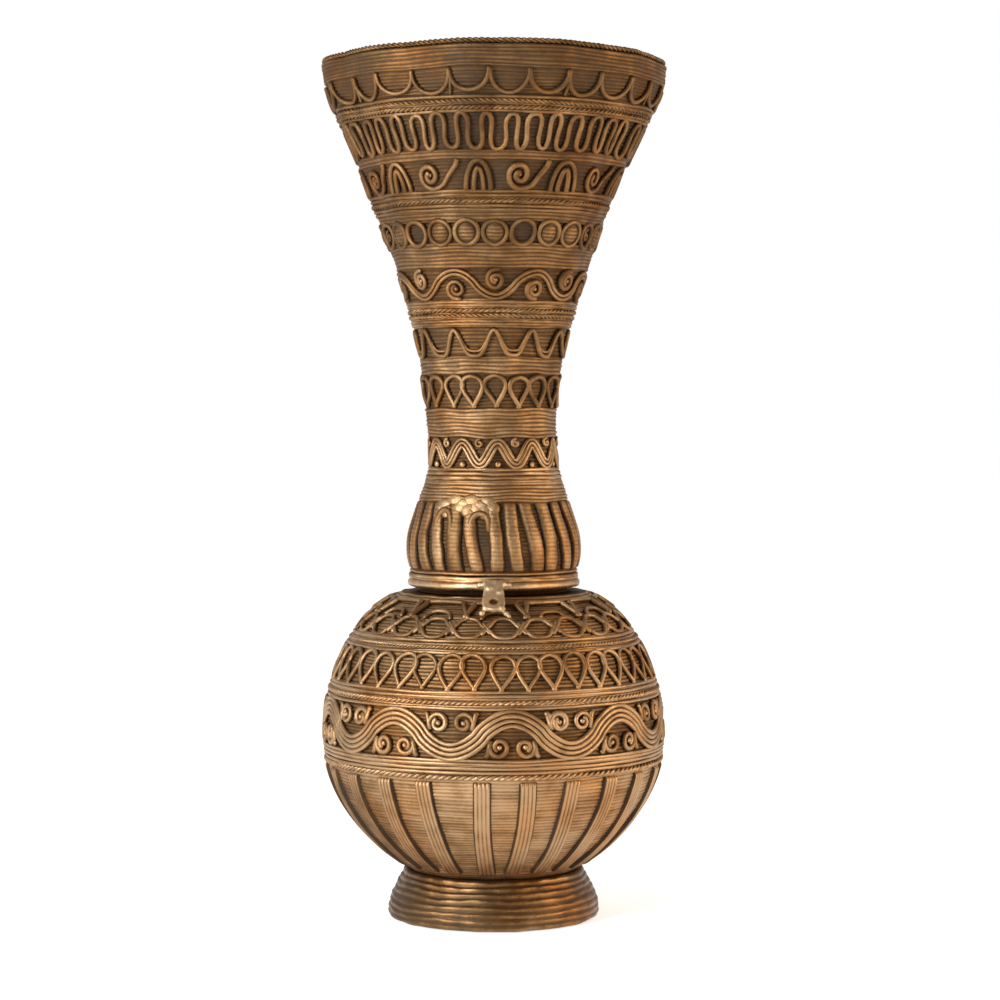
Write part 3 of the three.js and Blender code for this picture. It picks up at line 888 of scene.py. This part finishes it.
def make_ribs(shape, surface, low, high):
    """Broad flat ribs down the bulb, leaning a little and wound with level threads, with casting lumps on top."""
    pitch = TURN / BULB_RIBS
    z = np.linspace(high + 1.2, low, 70)
    share = (high - z) / (high - low)
    edge = np.array([-1.0, -1.0, -0.72, -0.25, 0.25, 0.72, 1.0, 1.0])
    rise = np.array([-1.6, -0.5, 0.15, 0.3, 0.3, 0.15, -0.5, -1.6])
    thread = np.abs(np.sin(math.pi * z / 1.5))
    ends = np.clip(np.minimum(share, 1 - share) / 0.05, 0, 1)
    for i in range(BULB_RIBS):
        half = HAND.uniform(0.33, 0.43) * pitch
        middle = (i + HAND.uniform(-0.06, 0.06)) * pitch + 0.1 * (share - 0.5) + 0.02 * np.sin(4 * share + 2.4 * i)
        angle = middle[:, None] + edge * (half * (1 + 0.05 * wander(len(z), False)))[:, None]
        lift = rise + (0.14 * thread * ends)[:, None] * (np.abs(edge) < 1) - 0.9 * (1 - ends)[:, None]
        points, _ = surface.place(angle, z[:, None] + 0 * angle, lift)
        bright = (0.56 + 0.24 * thread)[:, None] * HAND.uniform(0.6, 1.1) * (1 - np.abs(edge) ** 6)
        shape.grid(points, bright, caps=True)
    turn = np.linspace(0, math.pi, 12)
    lean = -0.05
    for rib, top, leg in ((-3, -3.2, 9), (-1, -4.6, 6), (8, -1.5, 5), (17, -2.5, 8)):
        centre = (rib + 0.5) * pitch + lean
        half = 0.5 * pitch * float(surface.radius(centre, high - 3))
        arch = np.stack([-half * np.cos(turn), high + top - leg * (1 - np.sin(turn) ** 0.6)], -1)
        wire(shape, surface, math.degrees(centre), arch, 1.4, lift=0.9 * np.sin(turn) ** 0.5 - 1.15, worn=0.8)
    for degrees, drop, size in ((-41, 1.0, 2.3), (-30.5, -0.6, 2.6), (-24, 0.6, 2.3), (-17, -0.4, 2.6),
                                (-10, 1.4, 2.4), (-4, 0.0, 2.2), (118, 0.6, 2.6), (126, -0.4, 2.2), (198, 0.8, 2.8)):
        boss(shape, surface, degrees, 0, high - drop, 1.7 * size, 1.0 * size, 1.05)
        boss(shape, surface, degrees + 4, 0, high - drop - 2.6, 1.2 * size, 1.3 * size, 1.0)


def make_bead():
    """The bead ring, a little uneven and thicker at its lug, with two plain wires between it and the bulb."""
    low, high = band("bead_ring")
    radius = node_points("bead_ring")[0]
    outer, inner = float(radius.max()), float(radius.min())
    angle = (np.arange(240) / 240 * TURN)[None, :]
    turn = (np.arange(24) / 24 * TURN)[:, None]
    thick = 0.9 + 0.1 * np.cos(angle) + 0.04 * ripple(angle, 0, 77)
    tall = 0.36 * (high - low)
    reach = outer - 2.0 + 1.8 * thick * np.cos(turn)
    z = low + tall + 0.97 * tall * thick * np.sin(turn) + 0.1 * ripple(angle, 0, 78)
    points = np.stack([reach * np.sin(angle), -reach * np.cos(angle), z], -1)
    shape = Shape()
    shape.grid(points, np.broadcast_to(0.5 + 0.3 * np.cos(turn), points.shape[:2]), wrap_rows=True)
    for z, reach in ((low + 2.2 * tall, outer - 1.7), (high - 0.2, outer - 1.7)):
        hoop = Surface(np.array([low, high]), np.array([reach, reach]))
        ring_wire(shape, hoop, z, 0.85, 0, worn=0.8)
    sleeve = [(inner + 0.3, high - 0.3), (inner + 0.3, low + 1.0), (outer - 2.0, low + 1.0), (outer - 2.0, high - 0.3)]
    rows = [[[r * math.sin(a), -r * math.cos(a), h] for a in angle[0]] for r, h in sleeve]
    shape.grid(np.array(rows), np.full((4, 240), 0.1), wrap_rows=True)
    shape.piece("cast_bead", "polished_brass", "neck", "bead_ring")


def make_lug():
    """The CAD lug, rounded off as a lumpy casting: knobs at its corners and two small feet under its eye, with painted
    shade round the eye.
    """
    form = bmesh.new()
    form.from_mesh(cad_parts["fixing_lug"].data)
    along = Vector((0, LUG_TIP[0] - LUG_TOP[0], LUG_TOP[1] - LUG_TIP[1])).normalized()
    outward = Vector((0, -along.z, along.y))
    tip = Vector((0, -LUG_TIP[0], LUG_TIP[1]))
    eye = tip + 4.2 * along
    for aside, up, out, radius in ((-5.0, 14.6, -0.1, 1.2), (-2.9, 14.2, 0.5, 1.5), (0.4, 14.6, 0.4, 1.7),
                                   (3.4, 14.3, 0.4, 1.5), (5.6, 14.8, -0.2, 1.1), (-1.6, 11.0, 0.8, 1.9),
                                   (2.2, 9.0, 0.7, 1.8), (-2.9, 1.6, 0.7, 1.4), (2.9, 1.3, 0.7, 1.5),
                                   (-4.2, -0.6, 0.3, 1.2), (4.5, -0.8, 0.3, 1.1), (5.5, -1.9, 0.1, 0.9)):
        place = (tip + up * along + out * outward + Vector((aside, 0, 0))) * MM
        bmesh.ops.create_icosphere(form, subdivisions=2, radius=radius * MM, matrix=Matrix.Translation(place))
    rough_mesh = bpy.data.meshes.new("lug_form")
    form.to_mesh(rough_mesh)
    form.free()
    made = bpy.data.objects.new("lug_form", rough_mesh)
    bpy.context.scene.collection.objects.link(made)
    remesh = made.modifiers.new("round", "REMESH")
    remesh.mode, remesh.voxel_size = "VOXEL", 0.25 * MM
    smooth = made.modifiers.new("soften", "SMOOTH")
    smooth.factor, smooth.iterations = 0.7, 12
    mesh = bpy.data.meshes.new_from_object(made.evaluated_get(bpy.context.evaluated_depsgraph_get()))
    bpy.data.objects.remove(made)
    co = np.zeros(len(mesh.vertices) * 3)
    mesh.vertices.foreach_get("co", co)
    offset = co.reshape(-1, 3) / MM - np.array(eye)
    reach = np.hypot(offset[:, 0], offset @ np.array(along))
    # Painted shade: wear falls off towards the eye, so the hole colours dark as if in shadow.
    wear = 0.85 * np.clip((reach - 1.2) / 0.7, 0.05, 1)
    layer = mesh.attributes.new("wear", "FLOAT", "POINT")
    layer.data.foreach_set("value", wear.astype(np.float32))
    mesh.shade_smooth()
    mesh.materials.clear()
    mesh.materials.append(MATERIALS["pale_brass"])
    lug = bpy.data.objects.new("cast_lug", mesh)
    bpy.context.scene.collection.objects.link(lug)
    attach(lug, "neck")
    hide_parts("fixing_lug")


# ---------------------------------------------------------------- stage, light and camera

def area_light(name, place, aim, size, power, colour):
    data = bpy.data.lights.new(name, "AREA")
    data.shape, data.size, data.size_y = "RECTANGLE", size[0], size[1]
    data.energy, data.color = power, colour
    made = bpy.data.objects.new(name, data)
    made.location = place
    made.rotation_mode = "QUATERNION"
    made.rotation_quaternion = (Vector(aim) - Vector(place)).to_track_quat("-Z", "Y")
    bpy.context.scene.collection.objects.link(made)


def make_stage():
    mesh = bpy.data.meshes.new("floor")
    mesh.from_pydata([(-6, -3, 0), (6, -3, 0), (6, 9, 0), (-6, 9, 0)], [], [(0, 1, 2, 3)])
    floor = bpy.data.objects.new("floor", mesh)
    bpy.context.scene.collection.objects.link(floor)
    white = bpy.data.materials.new("floor")
    white.use_nodes = True
    shader = white.node_tree.nodes["Principled BSDF"]
    shader.inputs["Base Color"].default_value = (0.9, 0.9, 0.9, 1)
    shader.inputs["Roughness"].default_value = 0.9
    shader.inputs["Emission Color"].default_value = (1, 1, 1, 1)
    shader.inputs["Emission Strength"].default_value = 0.62
    mesh.materials.append(white)

    bpy.context.scene.world = studio_world()
    bpy.context.scene.view_settings.view_transform = "Standard"
    aim = (0, 0, 0.14)
    area_light("left_softbox", (-0.86, -0.86, 0.46), aim, (0.42, 0.8), 18, (1.0, 1.0, 1.0))
    area_light("right_softbox", (1.15, -0.34, 0.30), aim, (0.42, 0.9), 10, (1.0, 0.7, 0.38))


def studio_world():
    """White where the camera looks at it. It lights the vase with less, and with least from the camera's side."""
    world = bpy.data.worlds.new("studio")
    world.use_nodes = True
    tree = world.node_tree
    tree.nodes.clear()
    make, link = node_maker(tree), tree.links.new
    out = make("ShaderNodeOutputWorld", 600, 0)
    shade = make("ShaderNodeBackground", 400, 0)
    shade.inputs["Color"].default_value = (1, 1, 1, 1)
    direction = make("ShaderNodeTexCoord", -600, 0)
    split = make("ShaderNodeSeparateXYZ", -400, 0)
    side = make("ShaderNodeMapRange", -200, 0)
    for key, value in (("From Min", -1.0), ("From Max", 0.6), ("To Min", 0.12), ("To Max", 0.6)):
        side.inputs[key].default_value = value
    seen = make("ShaderNodeLightPath", -200, 300)
    pick = make("ShaderNodeMix", 200, 0, data_type="FLOAT")
    pick.inputs["B"].default_value = 1.0
    link(direction.outputs["Generated"], split.inputs["Vector"])
    link(split.outputs["Y"], side.inputs["Value"])
    link(side.outputs["Result"], pick.inputs["A"])
    link(seen.outputs["Is Camera Ray"], pick.inputs["Factor"])
    link(pick.outputs["Result"], shade.inputs["Strength"])
    link(shade.outputs["Background"], out.inputs["Surface"])
    return world


def make_camera():
    data = bpy.data.cameras.new("camera")
    data.lens, data.sensor_width = 97.2, 36
    camera = bpy.data.objects.new("camera", data)
    camera.location = (0, -1.0106, 0.1924)
    camera.rotation_mode = "QUATERNION"
    aim = Vector((0.0024, 0, 0.1557))
    camera.rotation_quaternion = (aim - camera.location).to_track_quat("-Z", "Y")
    bpy.context.scene.collection.objects.link(camera)
    bpy.context.scene.camera = camera


make_globe()
make_foot()
make_socket()
make_neck()
make_collar()
make_stage()
make_camera()
